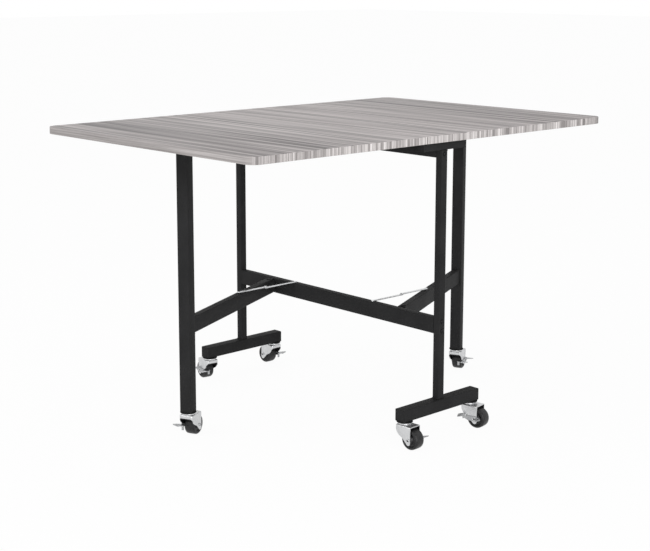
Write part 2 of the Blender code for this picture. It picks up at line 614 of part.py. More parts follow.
def caster_lever(side):
    # A rocking plate on the axle's stub beside the fork: a pedal and the brake's shoe ahead of the wheel,
    # and a heel behind it that frees the brake. Bent pieces start inside the plate's thickness.
    plate_in = FORK_WIDTH / 2 + RUNNING_GAP
    plate_out = plate_in + LEVER_SHEET
    half_sheet = LEVER_SHEET / 2
    middle = plate_in + half_sheet
    outline = [(LEVER_TAIL, LEVER_TAIL_LOW), (LEVER_TAIL, LEVER_TAIL_TOP), (LEVER_CREST_PLACE, LEVER_CREST),
               (-PEDAL_PLACE, PEDAL_TOP - half_sheet), (-PEDAL_PLACE, LEVER_CHIN),
               (-PEDAL_PLACE / 2, -LEVER_BELLY), (LEVER_BELLY, -LEVER_BELLY)]
    plate = upright(prism(outline, -plate_out, -plate_in))
    tip, shoe = PEDAL_TIP_LENGTH / 2, SHOE_LENGTH / 2
    shoe_end = SHOE_INNER - half_sheet / 2
    pedal_plan = [(PEDAL_LENGTH / 2 - PEDAL_PLACE, middle), (tip - PEDAL_PLACE, PEDAL_REACH),
                  (-tip - PEDAL_PLACE, PEDAL_REACH), (-PEDAL_LENGTH / 2 - PEDAL_PLACE, middle),
                  (-shoe - PEDAL_PLACE, shoe_end), (shoe - PEDAL_PLACE, shoe_end)]
    pedal = prism(pedal_plan, PEDAL_TOP - LEVER_SHEET, PEDAL_TOP)
    brake_shoe = box((-half_sheet - PEDAL_PLACE, SHOE_INNER, PEDAL_TOP - SHOE_DROP),
                     (half_sheet - PEDAL_PLACE, SHOE_OUTER, PEDAL_TOP - half_sheet))
    heel_plan = [(HEEL_START, middle), (LEVER_TAIL - half_sheet, middle), (LEVER_TAIL, HEEL_REACH),
                 (LEVER_TAIL - HEEL_TIP_LENGTH, HEEL_REACH)]
    heel = prism(heel_plan, HEEL_TOP - LEVER_SHEET, HEEL_TOP)
    lever = combine(plate, "UNION", [pedal, brake_shoe, heel])
    bore = along_y(cylinder(AXLE_RADIUS + RUNNING_GAP, 0, 2 * FORK_WIDTH))
    lever = combine(lever, "DIFFERENCE", [bore])
    if side < 0:
        lever.transform(Matrix.Scale(-1, 4, (0, 1, 0)))
        lever.flip_normals()
    return lever


def build_casters(gates):
    stem, fork, wheel = caster_stem(), caster_fork(), caster_wheel()
    levers = {side: caster_lever(side) for side in (-1, 1)}
    left, right = foot_caster_places()
    spots = (("front_left", None, (left, -POST_Y, 0), FRONT_LEFT_TURN, 1),
             ("front_right", None, (right, -POST_Y, 0), FRONT_RIGHT_TURN, -1),
             ("rear_left", None, (left, POST_Y, 0), REAR_LEFT_TURN, 1),
             ("rear_right", None, (right, POST_Y, 0), REAR_RIGHT_TURN, -1),
             ("left_gate", gates["left"], (GATE_REACH, 0, 0), math.pi, 1),
             ("right_gate", gates["right"], (GATE_REACH, 0, 0), 0.0, -1))
    for name, gate, location, turn, side in spots:
        swivel = empty(name + "_swivel_axis", location, turn, gate)
        axle = (CASTER_TRAIL, 0, WHEEL_RADIUS)
        place(name + "_caster_stem", stem, ZINC, parent=swivel)
        place(name + "_caster_fork", fork, ZINC, parent=swivel)
        place(name + "_caster_wheel", wheel, RUBBER, axle, parent=swivel)
        place(name + "_caster_lever", levers[side], ZINC, axle, parent=swivel)


for old in list(bpy.data.objects):
    bpy.data.objects.remove(old, do_unlink=True)

build_top()
build_end_frame("front", -1)
build_end_frame("rear", 1)
build_long_rails()
gate_axes = {}
for gate_side, gate_sign in (("left", -1), ("right", 1)):
    gate_axes[gate_side] = build_gate(gate_side, gate_sign)
    build_stay(gate_side, gate_sign)
build_casters(gate_axes)
print("built", sum(item.type == "MESH" for item in bpy.data.objects), "pieces")
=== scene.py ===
import json
import math

import bmesh
import bpy
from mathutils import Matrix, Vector

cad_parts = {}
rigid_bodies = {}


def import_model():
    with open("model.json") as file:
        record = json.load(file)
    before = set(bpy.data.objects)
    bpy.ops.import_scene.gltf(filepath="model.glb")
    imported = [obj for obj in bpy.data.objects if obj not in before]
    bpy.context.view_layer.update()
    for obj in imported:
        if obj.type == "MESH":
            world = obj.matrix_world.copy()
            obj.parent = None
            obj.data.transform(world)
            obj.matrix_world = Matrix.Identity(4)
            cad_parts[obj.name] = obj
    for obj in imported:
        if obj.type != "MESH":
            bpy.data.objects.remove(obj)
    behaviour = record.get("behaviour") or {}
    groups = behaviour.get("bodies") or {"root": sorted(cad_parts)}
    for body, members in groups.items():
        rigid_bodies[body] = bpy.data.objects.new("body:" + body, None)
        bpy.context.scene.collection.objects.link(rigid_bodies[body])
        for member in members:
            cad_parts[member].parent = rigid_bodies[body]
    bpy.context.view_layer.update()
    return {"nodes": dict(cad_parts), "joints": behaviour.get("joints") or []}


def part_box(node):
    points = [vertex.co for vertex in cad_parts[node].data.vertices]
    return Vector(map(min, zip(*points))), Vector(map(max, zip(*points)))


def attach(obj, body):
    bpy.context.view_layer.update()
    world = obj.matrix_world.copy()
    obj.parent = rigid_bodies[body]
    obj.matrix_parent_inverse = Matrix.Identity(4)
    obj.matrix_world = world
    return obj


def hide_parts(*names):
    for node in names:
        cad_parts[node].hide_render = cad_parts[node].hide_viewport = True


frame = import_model()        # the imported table, fixed in place
joints = {joint["name"]: joint for joint in frame["joints"]}
sides, ends = ("left", "right"), ("front", "rear")
print("frame loaded:", len(frame["nodes"]), "nodes")


# modelling by hand: start a shape, pick edges or faces by their place, work on them, leave

pick = {"near": 0.0001, "merge": 0.000005, "straight": 0.999, "facing": 0.9, "seed": 0.001}


def jointPlace(name):
    return Vector(joints[name]["pos_m"])


def makeActive(piece):
    bpy.ops.object.select_all(action="DESELECT")
    piece.select_set(True)
    bpy.context.view_layer.objects.active = piece


def applyPlace(piece):
    makeActive(piece)
    bpy.ops.object.transform_apply(location=True, rotation=True, scale=True)


def movePiece(piece, place, turn=(0, 0, 0)):
    piece.rotation_euler = turn
    piece.location = place
    applyPlace(piece)


def startPiece(name):
    piece = bpy.context.object
    piece.name = name
    applyPlace(piece)
    return piece


def addBlock(name, low, high):
    low, high = Vector(low), Vector(high)
    bpy.ops.object.select_all(action="DESELECT")
    bpy.ops.mesh.primitive_cube_add(size=1, location=(low + high) / 2, scale=high - low)
    return startPiece(name)


def addRod(name, radius, low, high, steps, spot=(0, 0)):
    bpy.ops.object.select_all(action="DESELECT")
    middle = (spot[0], spot[1], (low + high) / 2)
    bpy.ops.mesh.primitive_cylinder_add(vertices=steps, radius=radius, depth=high - low, location=middle)
    return startPiece(name)


def openEdit(piece, kind):
    makeActive(piece)
    bpy.ops.object.mode_set(mode="EDIT")
    bpy.ops.mesh.select_mode(type=kind)
    bpy.ops.mesh.select_all(action="DESELECT")
    return bmesh.from_edit_mesh(piece.data)


def leaveEdit():
    bpy.ops.object.mode_set(mode="OBJECT")


def pickEdges(piece, test):
    mesh = openEdit(piece, "EDGE")
    for edge in mesh.edges:
        edge.select_set(test(edge.verts[0].co, edge.verts[1].co))
    bmesh.update_edit_mesh(piece.data)


def pickFaces(piece, test):
    mesh = openEdit(piece, "FACE")
    for face in mesh.faces:
        face.select_set(test(face.calc_center_median(), face.normal))
    bmesh.update_edit_mesh(piece.data)


def roundEdges(piece, test, radius, steps):
    pickEdges(piece, test)
    bpy.ops.mesh.bevel(offset=radius, segments=steps, affect="EDGES")
    leaveEdit()


def everything(*parts):
    return True


def level(a, b):
    # an edge that lies flat
    return abs(a.z - b.z) < pick["near"]


def along(axis):
    # edges that run along one axis
    def test(a, b):
        run = b - a
        return abs(run[axis]) > pick["straight"] * run.length
    return test


def topEdges(height):
    # edges at the very top of a shape
    return lambda a, b: min(a.z, b.z) > height - pick["near"]


def useModifier(piece, kind, settings):
    makeActive(piece)
    modifier = piece.modifiers.new(kind.lower(), kind)
    for key, value in settings.items():
        setattr(modifier, key, value)
    bpy.ops.object.modifier_apply(modifier=modifier.name)


def easeSharp(piece, width, steps=2, angle=40):
    useModifier(piece, "BEVEL", {"width": width, "segments": steps, "limit_method": "ANGLE",
                                 "angle_limit": math.radians(angle), "harden_normals": False})


def thicken(piece, wall):
    # a skin gets its wall on the inside
    useModifier(piece, "SOLIDIFY", {"thickness": wall, "offset": -1, "use_even_offset": True})


def cutWith(piece, tool, operation="DIFFERENCE"):
    useModifier(piece, "BOOLEAN", {"operation": operation, "object": tool, "solver": "EXACT"})
    bpy.data.objects.remove(tool)


def joinPieces(main, others):
    makeActive(main)
    for other in others:
        other.select_set(True)
    bpy.ops.object.join()
    return main


def copyPiece(piece, name, place, turn):
    makeActive(piece)
    bpy.ops.object.duplicate()
    twin = bpy.context.object
    twin.name = name
    movePiece(twin, place, turn)
    return twin


def arcPoints(centre, radius, start, end, steps):
    angles = [math.radians(start + (end - start) * i / steps) for i in range(steps + 1)]
    return [(centre[0] + radius * math.cos(a), centre[1] + radius * math.sin(a)) for a in angles]


def stepsFrom(spot, steps):
    return [(spot[0] + first, spot[1] + second) for first, second in steps]


def drawLine(name, points):
    # one vertex, extruded from point to point
    bpy.ops.object.select_all(action="DESELECT")
    bpy.ops.mesh.primitive_plane_add(size=pick["seed"], location=points[0])
    piece = startPiece(name)
    bpy.ops.object.mode_set(mode="EDIT")
    bpy.ops.mesh.select_mode(type="VERT")
    bpy.ops.mesh.select_all(action="SELECT")
    bpy.ops.mesh.merge(type="CENTER")
    for here, there in zip(points, points[1:]):
        step = Vector(there) - Vector(here)
        bpy.ops.mesh.extrude_vertices_move(TRANSFORM_OT_translate={"value": step})
    bpy.ops.mesh.select_all(action="SELECT")
    return piece


def closeUp():
    bpy.ops.mesh.select_all(action="SELECT")
    bpy.ops.mesh.remove_doubles(threshold=pick["merge"])
    bpy.ops.mesh.normals_make_consistent(inside=False)
    leaveEdit()


def turnProfile(name, profile, steps, axis="Z"):
    # (radius, height) points spun round Z, or round Y with the height along it
    if axis == "Z":
        points, around = [(r, 0, h) for r, h in profile], (0, 0, 1)
    else:
        points, around = [(r, h, 0) for r, h in profile], (0, 1, 0)
    piece = drawLine(name, points)
    bpy.ops.mesh.spin(steps=steps, angle=2 * math.pi, center=(0, 0, 0), axis=around)
    closeUp()
    return piece


def cutPlate(name, outline, thickness):
    # a flat outline, closed, filled and pulled out to its thickness
    piece = drawLine(name, outline + outline[:1])
    bpy.ops.mesh.edge_face_add()
    bpy.ops.mesh.extrude_region_move(TRANSFORM_OT_translate={"value": thickness})
    closeUp()
    return piece


def dress(piece, *materials):
    piece.data.materials.clear()
    for material in materials:
        piece.data.materials.append(material)


def paintFaces(piece, index, test):
    for face in piece.data.polygons:
        if test(face.center, face.normal):
            face.material_index = index


def finishPiece(piece, body, nodes=(), angle=35):
    makeActive(piece)
    bpy.ops.object.shade_smooth_by_angle(angle=math.radians(angle))
    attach(piece, body)
    if nodes:
        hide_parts(*nodes)


# shader maths: a wire is a socket that can be added, multiplied and so on

class Wire:
    def __init__(self, tree, socket=None):
        self.tree = tree
        self.socket = socket

    def add(self, kind, settings, sockets, out=0):
        node = self.tree.nodes.new(kind)
        for key, value in settings.items():
            if key == "stops":
                self.setStops(node.color_ramp, value)
            else:
                setattr(node, key, value)
        for key, value in sockets.items():
            self.feed(node.inputs[key], value)
        return Wire(self.tree, node.outputs[out])

    def setStops(self, ramp, stops):
        while len(ramp.elements) < len(stops):
            ramp.elements.new(0.5)
        for element, (position, color) in zip(ramp.elements, stops):
            element.position = position
            element.color = (*color, 1)

    def feed(self, target, value):
        if isinstance(value, Wire):
            self.tree.links.new(value.socket, target)
        else:
            target.default_value = value

    def other(self, name):
        return Wire(self.tree, self.socket.node.outputs[name])

    def math(self, operation, first, second=0.0):
        return self.add("ShaderNodeMath", {"operation": operation}, {0: first, 1: second})

    def __add__(self, value):
        return self.math("ADD", self, value)

    def __radd__(self, value):
        return self.math("ADD", value, self)

    def __sub__(self, value):
        return self.math("SUBTRACT", self, value)

    def __rsub__(self, value):
        return self.math("SUBTRACT", value, self)

    def __mul__(self, value):
        return self.math("MULTIPLY", self, value)

    def __rmul__(self, value):
        return self.math("MULTIPLY", value, self)

    def __truediv__(self, value):
        return self.math("DIVIDE", self, value)

    def __abs__(self):
        return self.math("ABSOLUTE", self)


def newFinish(name, constants):
    material = bpy.data.materials.new(name)
    material.use_nodes = True
    shader = material.node_tree.nodes["Principled BSDF"]
    for key, value in constants.items():
        shader.inputs[key].default_value = value
    return material, shader, Wire(material.node_tree)


def objectPlace(wire):
    return wire.add("ShaderNodeTexCoord", {}, {}, "Object")


def split(wire, vector):
    x = wire.add("ShaderNodeSeparateXYZ", {}, {0: vector}, "X")
    return x, x.other("Y"), x.other("Z")


def noise(wire, vector, scale, detail=2.0):
    return wire.add("ShaderNodeTexNoise", {}, {"Vector": vector, "Scale": scale, "Detail": detail})


def stretched(wire, x, y, z, size):
    # noise whose grains are as large as size says, in metres
    vector = wire.add("ShaderNodeCombineXYZ", {}, {0: x / size[0], 1: y / size[1], 2: z / size[2]})
    return noise(wire, vector, 1.0)


def swing(pattern):
    # noise lies about 0.5, and this about 0
    return pattern - 0.5


def fade(wire, value, fromLow, fromHigh, toLow=0.0, toHigh=1.0):
    return wire.add("ShaderNodeMapRange", {"interpolation_type": "SMOOTHSTEP"},
                    {0: value, 1: fromLow, 2: fromHigh, 3: toLow, 4: toHigh})


def blended(wire, first, second, look):
    # two patterns in their shares, with more contrast
    return fade(wire, first * look["shares"][0] + second * look["shares"][1], *look["contrast"])


def twoTone(wire, factor, look):
    dark, light = (*look["dark"], 1), (*look["light"], 1)
    return wire.add("ShaderNodeMix", {"data_type": "RGBA"}, {0: factor, 6: dark, 7: light}, 2)


def threeTone(wire, factor, look):
    stops = list(zip(look["stops"], (look["dark"], look["middle"], look["light"])))
    return wire.add("ShaderNodeValToRGB", {"stops": stops}, {0: factor})


def bump(wire, height, distance, strength=1.0):
    return wire.add("ShaderNodeBump", {}, {"Height": height, "Distance": distance, "Strength": strength})


def coat(wire, shader, color, roughness, normal):
    wire.feed(shader.inputs["Base Color"], color)
    wire.feed(shader.inputs["Roughness"], roughness)
    wire.feed(shader.inputs["Normal"], normal)


# finishes

laminate = {
    "dark": (0.150, 0.138, 0.137), "middle": (0.382, 0.3525, 0.350), "light": (0.630, 0.586, 0.580),
    "stops": (0.1, 0.5, 0.9), "tone": 0.5, "waverSize": (0.30, 0.22, 1.0), "waver": 0.010,
    # (grain across, grain along, how much it shows) in metres
    "grains": ((0.090, 2.5, 0.22), (0.026, 1.4, 0.70), (0.011, 0.80, 1.95), (0.0045, 0.50, 0.90),
               (0.0018, 0.25, 0.40)),
    # (place, half width, how dark) of the strongest lines, and of the paler bands
    "lines": ((-0.405, 0.008, 0.16), (0.060, 0.008, 0.30), (0.385, 0.008, 0.22)),
    "bands": ((-0.130, 0.045, -0.10), (0.100, 0.035, -0.08)),
    # the sheet is painted a little paler about the middle than towards the two ends: partly its own tone,
    # partly a painted wide highlight
    "middleToneAndSheen": (0.08, 0.50, 0.115, -0.06),
    "gloss": (0.2, 0.8, 0.50, 0.62), "reliefDepth": 0.00006, "specular": 0.25,
}


def makeLaminate():
    material, shader, wire = newFinish("grey_streaked_laminate", {"Specular IOR Level": laminate["specular"]})
    x, y, z = split(wire, objectPlace(wire))
    waver = stretched(wire, x, y, z, laminate["waverSize"])
    across = x + swing(waver) * laminate["waver"]
    tone = laminate["tone"]
    for width, length, share in laminate["grains"]:
        tone = tone + swing(stretched(wire, across, y, z, (width, length, 1.0))) * share
    for place, half, depth in laminate["lines"] + laminate["bands"]:
        tone = tone - fade(wire, abs(across - place), 0.0, half, depth, 0.0)
    # painted highlight, partly tone: the middle of the sheet is made paler and the two ends darker
    tone = tone + fade(wire, abs(x), *laminate["middleToneAndSheen"])
    coat(wire, shader, threeTone(wire, tone, laminate), fade(wire, tone, *laminate["gloss"]),
         bump(wire, tone, laminate["reliefDepth"]))
    return material


edgeBand = {
    "dark": (0.21, 0.194, 0.190), "middle": (0.43, 0.403, 0.397), "light": (0.76, 0.725, 0.715),
    "stops": (0.18, 0.48, 0.8),
    # (grain, how much it shows), and how far a grain runs
    "frontTone": 0.47, "frontGrains": ((0.030, 0.50), (0.0070, 1.20), (0.0026, 0.90)), "frontRun": 0.25,
    "endTone": 0.34, "endGrains": ((0.0050, 0.55), (0.0014, 0.55)), "endRun": 0.28,
    # the long edges darken a little towards the two ends
    "calm": (0.46, 0.60, 0.0, 0.12), "turn": (0.35, 0.9),
    "gloss": (0.2, 0.8, 0.45, 0.60), "reliefDepth": 0.00005, "specular": 0.25,
}


def makeEdgeBand():
    # streaks stand upright on the front and back edges, and run along the two short ends
    material, shader, wire = newFinish("edge_band", {"Specular IOR Level": edgeBand["specular"]})
    x, y, z = split(wire, objectPlace(wire))
    normal = wire.add("ShaderNodeNewGeometry", {}, {}, "Normal")
    facing = abs(split(wire, normal)[1])
    front, end = edgeBand["frontTone"], edgeBand["endTone"]
    for width, share in edgeBand["frontGrains"]:
        front = front + swing(stretched(wire, x, y, z, (width, 1.0, edgeBand["frontRun"]))) * share
    for width, share in edgeBand["endGrains"]:
        end = end + swing(stretched(wire, z, y, x, (width, edgeBand["endRun"], 1.0))) * share
    front = front - fade(wire, abs(x), *edgeBand["calm"])
    tone = end + (front - end) * fade(wire, facing, *edgeBand["turn"])
    coat(wire, shader, threeTone(wire, tone, edgeBand), fade(wire, tone, *edgeBand["gloss"]),
         bump(wire, tone, edgeBand["reliefDepth"]))
    return material


backing = {"dark": (0.30, 0.285, 0.27), "light": (0.42, 0.40, 0.385), "cloud": 9.0,
           "fibre": (0.003, 0.02, 1.0), "shares": (0.6, 0.4), "contrast": (0.3, 0.7),
           "gloss": (0.3, 0.7, 0.6, 0.75), "reliefDepth": 0.00004, "specular": 0.2}


def makeBacking():
    # the underside's plain paper
    material, shader, wire = newFinish("underside_paper", {"Specular IOR Level": backing["specular"]})
    place = objectPlace(wire)
    fibre = stretched(wire, *split(wire, place), backing["fibre"])
    tone = blended(wire, noise(wire, place, backing["cloud"]), fibre, backing)
    coat(wire, shader, twoTone(wire, tone, backing), fade(wire, fibre, *backing["gloss"]),
         bump(wire, fibre, backing["reliefDepth"]))
    return material


powder = {"dark": (0.0186, 0.0186, 0.0191), "light": (0.0268, 0.0268, 0.0274), "cloud": 14.0, "peel": 620.0,
          "grit": 2600.0, "cloudDetail": 3.0, "peelDetail": 1.0, "gritDetail": 0.0, "plugShift": 6.0,
          "shares": (0.55, 0.45), "contrast": (0.35, 0.65), "gritGloss": 0.3, "gloss": (0.3, 0.7, 0.50, 0.62),
          "gritDepth": 0.25, "reliefDepth": 0.00005, "relief": 0.6, "specular": 0.04}


def makePowder(name, shift):
    # satin black powder coat with a fine orange peel
    material, shader, wire = newFinish(name, {"Specular IOR Level": powder["specular"]})
    place = objectPlace(wire)
    cloud = noise(wire, place, powder["cloud"] + shift, powder["cloudDetail"])
    peel = noise(wire, place, powder["peel"], powder["peelDetail"])
    grit = noise(wire, place, powder["grit"], powder["gritDetail"])
    sheen = cloud + swing(grit) * powder["gritGloss"]
    relief = peel + grit * powder["gritDepth"]
    coat(wire, shader, twoTone(wire, blended(wire, cloud, peel, powder), powder),
         fade(wire, sheen, *powder["gloss"]), bump(wire, relief, powder["reliefDepth"], powder["relief"]))
    return material


# tones, roughness from and to, size of the rolling lines in metres and scale of the clouds
plated = {
    "zinc": {"name": "zinc_plate", "dark": (0.575, 0.58, 0.59), "light": (0.645, 0.65, 0.655),
             "roughness": (0.30, 0.40), "lines": (0.012, 0.012, 0.0015), "cloud": 70},
    "steel": {"name": "nickel_steel", "dark": (0.55, 0.56, 0.57), "light": (0.70, 0.71, 0.715),
              "roughness": (0.18, 0.30), "lines": (0.03, 0.0015, 0.03), "cloud": 60},
    "bolt": {"name": "black_oxide", "dark": (0.016, 0.016, 0.017), "light": (0.030, 0.030, 0.032),
             "roughness": (0.32, 0.46), "lines": (0.002, 0.002, 0.002), "cloud": 400},
    # painted shade: a darker copy of the zinc plate, for the brake lever
    "lever": {"name": "zinc_in_painted_shade", "dark": (0.36, 0.365, 0.375), "light": (0.44, 0.445, 0.45),
              "roughness": (0.30, 0.42), "lines": (0.012, 0.012, 0.0015), "cloud": 70},
    # painted shade: a black copy of the plating for the fork's inside and the axle's bore, where only shade
    # falls
    "inside": {"name": "painted_shade_black", "dark": (0.022, 0.022, 0.023), "light": (0.045, 0.045, 0.047),
               "roughness": (0.50, 0.62), "lines": (0.004, 0.004, 0.004), "cloud": 120},
}
plating = {"cloudDetail": 3.0, "shares": (0.6, 0.4), "contrast": (0.35, 0.65), "glossShare": 0.5,
           "metal": (0.2, 0.8, 0.92, 1.0), "reliefDepth": 0.00001, "relief": 0.5}


def makePlated(look):
    # plated sheet steel: cloudy crystals, fine rolling lines and small changes of gloss
    material, shader, wire = newFinish(look["name"], {})
    place = objectPlace(wire)
    cloud = noise(wire, place, look["cloud"], plating["cloudDetail"])
    rolled = stretched(wire, *split(wire, place), look["lines"])
    tone = blended(wire, cloud, rolled, plating)
    gloss = rolled * plating["glossShare"] + cloud * (1 - plating["glossShare"])
    wire.feed(shader.inputs["Metallic"], fade(wire, cloud, *plating["metal"]))
    coat(wire, shader, twoTone(wire, tone, look), fade(wire, gloss, *plating["contrast"], *look["roughness"]),
         bump(wire, rolled, plating["reliefDepth"], plating["relief"]))
    return material


tyre = {"dark": (0.010, 0.010, 0.0105), "light": (0.022, 0.022, 0.023), "cloud": 90.0, "grit": 1500.0,
        "cloudDetail": 3.0, "gritDetail": 1.0, "shares": (0.7, 0.3), "contrast": (0.35, 0.65),
        "gloss": (0.3, 0.7, 0.36, 0.50), "reliefDepth": 0.00003, "relief": 0.5, "specular": 0.30,
        "hubLift": 1.5}


def makeTyre(name, lift):
    # moulded tyre and hub: dull with scuffs
    material, shader, wire = newFinish(name, {"Specular IOR Level": tyre["specular"]})
    place = objectPlace(wire)
    cloud = noise(wire, place, tyre["cloud"], tyre["cloudDetail"])
    grit = noise(wire, place, tyre["grit"], tyre["gritDetail"])
    tones = {key: [value * lift for value in tyre[key]] for key in ("dark", "light")}
    coat(wire, shader, twoTone(wire, blended(wire, cloud, grit, tyre), tones),
         fade(wire, cloud, *tyre["gloss"]), bump(wire, grit, tyre["reliefDepth"], tyre["relief"]))
    return material


finish = {
    "top": makeLaminate(), "edge": makeEdgeBand(), "underside": makeBacking(),
    "powder": makePowder("black_powder_coat", 0.0),
    "plug": makePowder("black_end_plug", powder["plugShift"]),
    "tyre": makeTyre("moulded_tyre", 1.0), "hub": makeTyre("wheel_hub", tyre["hubLift"]),
}
for platedKey, platedLook in plated.items():
    finish[platedKey] = makePlated(platedLook)
print("finishes made:", len(finish))


# boards

board = {"cornerRadius": 0.025, "cornerSteps": 16, "ease": 0.0010, "easeSteps": 3, "flat": 0.7}


def makeBoard(node, outerSide):
    # outerSide is -1 or 1 for a leaf, whose outer corners are round, and 0 for the centre panel
    low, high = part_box(node)
    piece = addBlock(node + "_board", low, high)
    if outerSide:
        outerX = high.x if outerSide > 0 else low.x
        upright = along(2)
        roundEdges(piece, lambda a, b: upright(a, b) and abs(a.x - outerX) < pick["near"],
                   board["cornerRadius"], board["cornerSteps"])
    roundEdges(piece, level, board["ease"], board["easeSteps"])
    dress(piece, finish["edge"], finish["top"], finish["underside"])
    paintFaces(piece, 1, lambda place, normal: normal.z > board["flat"])
    paintFaces(piece, 2, lambda place, normal: normal.z < -board["flat"])
    finishPiece(piece, node if outerSide else "frame", [node])


for boardNode, boardSide in (("centre_panel", 0), ("left_leaf", -1), ("right_leaf", 1)):
    makeBoard(boardNode, boardSide)
print("boards made")


# square tubes

tube = {"corner": 0.0020, "cornerSteps": 4, "wall": 0.0015, "plugDepth": 0.004, "plugGap": 0.00025,
        "plugEase": 0.0006, "plugSteps": 3, "pinHole": 0.0028, "pinHoleGap": 0.0003, "holeSteps": 28}
weld = {"width": 0.0014, "height": 0.0018, "corner": 0.003, "roll": 0.45, "steps": 4, "cuts": 3,
        "ripple": 0.0005, "rippleSize": 0.004}


def makeTube(name, low, high, axis):
    # a bar with its long edges rolled round
    piece = addBlock(name, low, high)
    roundEdges(piece, along(axis), tube["corner"], tube["cornerSteps"])
    dress(piece, finish["powder"])
    return piece


def plugEnd(piece, axis, sign):
    # the tube's wall shows as a rim, and a pressed-in plug fills it
    places = [corner.co[axis] for corner in piece.data.vertices]
    face = max(places) if sign > 0 else min(places)
    pickFaces(piece, lambda place, normal: sign * normal[axis] > pick["facing"]
              and abs(place[axis] - face) < pick["near"])
    bpy.ops.mesh.inset(thickness=tube["wall"], depth=0)
    inward = [0, 0, 0]
    inward[axis] = -sign * tube["plugDepth"]
    bpy.ops.mesh.extrude_region_move(TRANSFORM_OT_translate={"value": inward})
    leaveEdit()
    corners = [corner.co for corner in piece.data.vertices if abs(corner.co[axis] - face) < pick["near"]]
    rim = tube["wall"] + tube["plugGap"]
    low = Vector([min(c[i] for c in corners) + rim for i in range(3)])
    high = Vector([max(c[i] for c in corners) - rim for i in range(3)])
    low[axis] = face if sign < 0 else face - tube["plugDepth"]
    high[axis] = face if sign > 0 else face + tube["plugDepth"]
    plug = addBlock("plug", low, high)
    roundEdges(plug, everything, tube["plugEase"], tube["plugSteps"])
    dress(plug, finish["plug"])
    return plug


def weldRing(low, high):
    # a rippled bead round a joint
    bead = addBlock("bead", low, high)
    roundEdges(bead, along(2), weld["corner"], weld["steps"])
    roundEdges(bead, level, weld["height"] * weld["roll"], weld["steps"])
    pickFaces(bead, everything)
    bpy.ops.mesh.subdivide(number_cuts=weld["cuts"])
    leaveEdit()
    ripple = bpy.data.textures.new("bead_ripple", "CLOUDS")
    ripple.noise_scale = weld["rippleSize"]
    useModifier(bead, "DISPLACE", {"texture": ripple, "strength": weld["ripple"], "mid_level": 0.5,
                                   "texture_coords": "GLOBAL"})
    dress(bead, finish["powder"])
    return bead


def makeEndFrame(end):
    postLow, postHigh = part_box(end + "_post")
    post = makeTube(end + "_upright", postLow, postHigh, 2)
    grow = Vector((weld["width"], weld["width"], 0))
    beads = []
    for lowZ, highZ in ((postLow.z, postLow.z + weld["height"]), (postHigh.z - weld["height"], postHigh.z)):
        beads.append(weldRing((*(postLow - grow).xy, lowZ), (*(postHigh + grow).xy, highZ)))
    joinPieces(post, beads)
    finishPiece(post, "frame", [end + "_post"])
    for node in (end + "_foot", end + "_top_bar"):
        bar = makeTube(node + "_tube", *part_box(node), 0)
        joinPieces(bar, [plugEnd(bar, 0, sign) for sign in (-1, 1)])
        finishPiece(bar, "frame", [node])


def makeRail(node):
    low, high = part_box(node)
    rail = makeTube(node + "_tube", low, high, 1)
    if node == "stretcher":
        for side in sides:  # each stay's pin sits in a hole in the top
            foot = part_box(side + "_stay_long")[0].z - tube["pinHoleGap"]
            cutWith(rail, addRod("pin_hole", tube["pinHole"], foot, 2 * high.z - foot, tube["holeSteps"],
                                 jointPlace(side + "_stay_long_turn")))
        dress(rail, finish["powder"])
    finishPiece(rail, "frame", [node])


for endName in ends:
    makeEndFrame(endName)
for railNode in ("stretcher", "top_rail"):
    makeRail(railNode)
print("frame tubes made")


# gate legs: an upright and its arm, which is drawn along X and then swung to where the gate stands

gate = {"legSize": 0.030, "armThick": 0.020, "seatGap": 0.0003, "lugHeight": 0.0266,
        "lugReach": 0.0085, "notchDepth": 0.003, "pinHole": 0.0033}


def makeGate(side):
    pivot = jointPlace(side + "_gate_swing")
    legLow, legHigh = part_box(side + "_gate_leg")
    armLow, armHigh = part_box(side + "_gate_arm")
    reach = ((legLow + legHigh) / 2 - pivot).xy
    half = gate["legSize"] / 2
    legStart = (reach.length - half, -half, legLow.z)
    leg = makeTube(side + "_gate_upright", legStart, (reach.length + half, half, legHigh.z), 2)
    joinPieces(leg, [plugEnd(leg, 2, sign) for sign in (-1, 1)])

    armEnd = reach.length - half - gate["seatGap"]
    armSide = gate["armThick"] / 2
    arm = makeTube(side + "_gate_arm_tube", (-armSide, -armSide, armLow.z), (armEnd, armSide, armHigh.z), 0)
    pickFaces(arm, lambda place, normal: abs(normal.x) > pick["facing"])
    bpy.ops.mesh.delete(type="FACE")
    leaveEdit()
    thicken(arm, tube["wall"])
    middle, tall = (armLow.z + armHigh.z) / 2, armHigh.z - armLow.z
    notch = addBlock("notch", (-2 * armSide, armSide - gate["notchDepth"], middle - gate["lugHeight"] / 2),
                     (gate["lugReach"], 2 * armSide, middle + gate["lugHeight"] / 2))
    cutWith(arm, notch)
    cutWith(arm, addRod("pin_hole", gate["pinHole"], armLow.z - tall, armHigh.z + tall, tube["holeSteps"]))
    dress(arm, finish["powder"])
    wide = weld["width"]
    bead = weldRing((armEnd - weld["height"], -armSide - wide, armLow.z - wide),
                    (armEnd + gate["seatGap"], armSide + wide, armHigh.z + wide))
    joinPieces(arm, [bead])
    for piece, node in ((leg, "_gate_leg"), (arm, "_gate_arm")):
        movePiece(piece, (*pivot.xy, 0), (0, 0, math.atan2(reach.y, reach.x)))
        finishPiece(piece, side + "_gate", [side + node])
    frame["nodes"][side + "_gate_pivot"].material_slots[0].material = finish["powder"]


for gateSide in sides:
    makeGate(gateSide)
print("gate legs made")


# button-head bolts

bolt = {"headRadius": 0.0055, "headHeight": 0.0030, "headEase": 0.00015, "dome": 0.0021, "domeSteps": 6,
        "socketRadius": 0.0023, "socketDepth": 0.0019, "socketSides": 6, "steps": 40,
        "shankRadius": 0.0029, "shankLow": -0.0301, "shankHigh": 0.0004, "shankEase": 0.0004,
        "shankSteps": 24}


